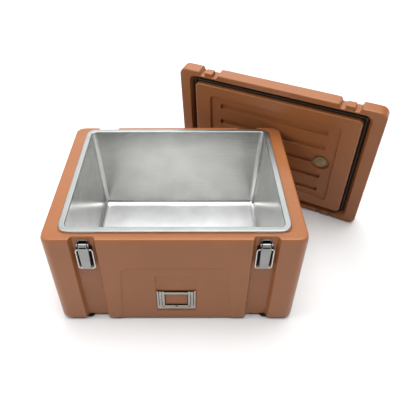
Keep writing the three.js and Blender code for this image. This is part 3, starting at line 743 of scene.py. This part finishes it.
def base_plate():
    """The plate with its two ears. Its lower part, its slot and its ears are painted black as
    shade.
    """
    half = [(20, 217), (20, 290), (13.4, 299), (13.4, 308), (10, 314)]
    outline = corner_cut(half + [(-x, z) for x, z in reversed(half)], 3)
    parts = [prism("plate", outline, -1.7, -0.3)]
    for s in (-1, 1):
        x0, x1 = sorted((s * 10.8, s * 12.8))
        parts.append(rod_x("ear", 5, x0, x1, PIVOT_Y, PIVOT_Z))
        parts.append(block("web", x0, x1, PIVOT_Y, -1.2, PIVOT_Z - 5, PIVOT_Z + 5))
    obj = joined("latch_plate", parts)
    slot = block("slot", -8.5, 8.5, -5, -0.9, 305, 310.5)
    cut(obj, slot, rod_x("bore", PIN_BORE_R, -20, 20, PIVOT_Y, PIVOT_Z))
    cut(obj, *[rod_y("hole", 2.4, -5, 2, 0, z) for z in RIVET_ZS])
    softened(obj, 0.5, 2, 0.3)
    # Painted shade: the plate below the hinge, the slot and the ears take the near-black finish.
    for face in obj.data.polygons:
        x, y, z = face.center / MM
        slot_or_ear = abs(x) < 9 or y > -1.5 or y < -2
        if z < SHADE_BELOW_Z or (z < SHADE_SLOT_Z and slot_or_ear):
            face.material_index = 1
    return obj


def lever_outline(inset):
    top, end = 295 - inset, 219 + inset
    half_top, half_end = 13 - inset, 11 - inset
    points = [(-half_top, top - 2), (-half_end, end), (half_end, end), (half_top, top - 2)]
    points += [(half_top - 2.6, top), (2.6 - half_top, top)]
    return corner_cut(points, 5)


def lever():
    tray = prism("tray", lever_outline(0), -13.6, -5.2)
    cut(tray, prism("hollow", lever_outline(1.5), -12.1, -3))
    cut(tray, block("open_top", -20, 20, -12.1, 0, 292, 300))
    parts = [tray, block("neck", -10.4, 10.4, -13.6, -12.1, 293.5, PIVOT_Z + 0.5)]
    parts.append(block("press", -7.6, 7.6, -13.9, -13, 232, 284))
    parts.append(rod_x("roll", 4.3, -10.4, 10.4, PIVOT_Y, PIVOT_Z, 40))
    obj = joined("latch_lever", parts)
    slot = block("slot", -9, 9, -15, -9.5, 294.2, PIVOT_Z - 3)
    cut(obj, slot, rod_x("bore", PIN_BORE_R, -20, 20, PIVOT_Y, PIVOT_Z))
    cut(obj, rod_x("holes", WIRE_HOLE_R, -20, 20, BAIL_Y, BAIL_Z))
    return softened(obj, 0.5, 2, 0.25)


def bail():
    low, r = BAIL_Z - BAIL_DROP, WIRE_BEND
    path = [(-9.2, BAIL_Y, BAIL_Z), (-12, BAIL_Y, BAIL_Z)]
    corners = ((-BAIL_HALF + r, BAIL_Z - r, 90, 180), (-BAIL_HALF + r, low + r, 180, 270))
    corners += ((BAIL_HALF - r, low + r, 270, 360), (BAIL_HALF - r, BAIL_Z - r, 0, 90))
    for cx, cz, start, end in corners:
        path += [(x, BAIL_Y, z) for x, z in arc(cx, cz, r, start, end, 8)]
    path += [(12, BAIL_Y, BAIL_Z), (9.2, BAIL_Y, BAIL_Z)]
    return shaded(sweep("latch_bail", path, WIRE_R, 18), 60)


def hinge_pin():
    rings = [(-15.0, 0.01), (-14.9, 2.6), (-14.4, 3.8), (-13.7, 4.2), (-13.2, 4.1), (-13.1, 2)]
    rings += [(-x, r) for x, r in reversed(rings)]
    loops = []
    for x, r in rings:
        loops.append([(x, PIVOT_Y + b, PIVOT_Z + c) for b, c, _ in circle(r, 0, 0, 0, 24)])
    return shaded(loft("latch_pin", loops), 50)


def latches():
    kit = {
        "base": (base_plate(), "steel", [PLATE_STEEL, PAINTED_SHADE], "carrier_box"),
        "pin": (hinge_pin(), "bright_wire", BRIGHT, "carrier_box"),
        "lever": (lever(), "steel", LEVER_STEEL, "lever_{}"),
        "bail": (bail(), "bright_wire", BRIGHT, "bail_{}"),
    }
    rivet = rivet_mesh("latch_rivet", 4, 1.8, 5.8)
    for place in PLACES:
        at = channel_matrix(place)
        for kind, (shape, slot_name, material, body) in kit.items():
            piece = twin(shape, f"{kind}_{place}")
            placed(piece, at, body.format(place), slot_name, material, f"latch_{place}_{kind}")
        for i, z in enumerate(RIVET_ZS, 1):
            piece = twin(rivet, f"rivet_{place}_{i}")
            spot = at @ Matrix.Translation(Vector((0, -2, z)) * MM) @ OUTWARDS
            placed(piece, spot, "carrier_box", "steel", PLATE_STEEL, f"latch_{place}_rivet_{i}")
    for shape in [rivet] + [entry[0] for entry in kit.values()]:
        remove(shape)


# ---- what the model already has right

def carried_over():
    for node in ("body_foam", "lid_foam"):
        mesh = NODES[node].data
        mesh.materials.clear()
        mesh.materials.append(FOAM)


# ---- camera, light and floor

def camera():
    data = bpy.data.cameras.new("camera")
    obj = bpy.data.objects.new("camera", data)
    bpy.context.scene.collection.objects.link(obj)
    focal_px, image_px = 437.18, 400
    data.sensor_width = 36
    data.lens = focal_px * data.sensor_width / image_px
    data.shift_x = 0.0269
    data.shift_y = -0.0942
    data.clip_start = 0.05
    obj.location = (0.0382, -0.9341, 1.1134)
    obj.rotation_euler = (math.radians(90 - 38.47), math.radians(0.14), math.radians(0.06))
    bpy.context.scene.camera = obj


def aimed(where, at):
    """The rotation of a light at one point that looks at another."""
    return (Vector(at) - Vector(where)).to_track_quat("-Z", "Y").to_euler()


def area_light(name, where, at, size, power):
    data = bpy.data.lights.new(name, "AREA")
    data.shape = "RECTANGLE"
    data.size, data.size_y = size
    data.energy = power
    obj = bpy.data.objects.new(name, data)
    bpy.context.scene.collection.objects.link(obj)
    obj.location = where
    obj.rotation_euler = aimed(where, at)


def studio():
    scene = bpy.context.scene
    world = bpy.data.worlds.new("studio")
    world.use_nodes = True
    tree = world.node_tree
    tree.nodes["Background"].inputs["Strength"].default_value = 1
    kinds = ("TexCoord", "SeparateXYZ", "ValToRGB")
    coords, split, ramp = [tree.nodes.new(f"ShaderNode{kind}") for kind in kinds]
    horizon, sky = (0.14, 0.8), (0.24, 0.05)
    for element, (at, grey) in zip(ramp.color_ramp.elements, (horizon, sky)):
        element.position = at
        element.color = (grey, grey, grey, 1)
    tree.links.new(coords.outputs["Generated"], split.inputs["Vector"])
    tree.links.new(split.outputs["Z"], ramp.inputs["Fac"])
    tree.links.new(ramp.outputs["Color"], tree.nodes["Background"].inputs["Color"])
    scene.world = world
    scene.view_settings.view_transform = "Standard"
    sun = bpy.data.lights.new("key", "SUN")
    sun.energy = 4.9
    sun.angle = math.radians(60)
    key = bpy.data.objects.new("key", sun)
    scene.collection.objects.link(key)
    key.rotation_euler = aimed((0.1, 0.06, 1.0), (0, 0, 0))
    area_light("softbox", (-0.3, 3.2, 2.7), (0, 0, 0.3), (4.5, 1.8), 62)
    area_light("fill", (-2.2, -0.55, 1.9), (0.4, 0.4, 0.3), (1.4, 1.4), 38)
    corners = ((-1, -1), (1, -1), (1, 1), (-1, 1))
    sheets = [[(sx * FLOOR_HALF, sy * FLOOR_HALF, z) for sx, sy in corners]
              for z in (FLOOR_Z, FLOOR_UNDER_Z)]
    floor = loft("floor", sheets)
    n = Nodes("pale_floor", 0.9, colour=(0.64, 0.64, 0.64))
    tone = n.mix(n.remap(n.noise(3, 2), 0, 1), (0.63, 0.63, 0.63), (0.65, 0.65, 0.65))
    n.link(tone, n.shader.inputs["Base Color"])
    floor.data.materials.append(n.material)


moulded_box()
moulded_lid()
steel_tub()
label_frame()
label_rivets()
feet()
plugs()
lid_seal()
latches()
carried_over()
camera()
studio()
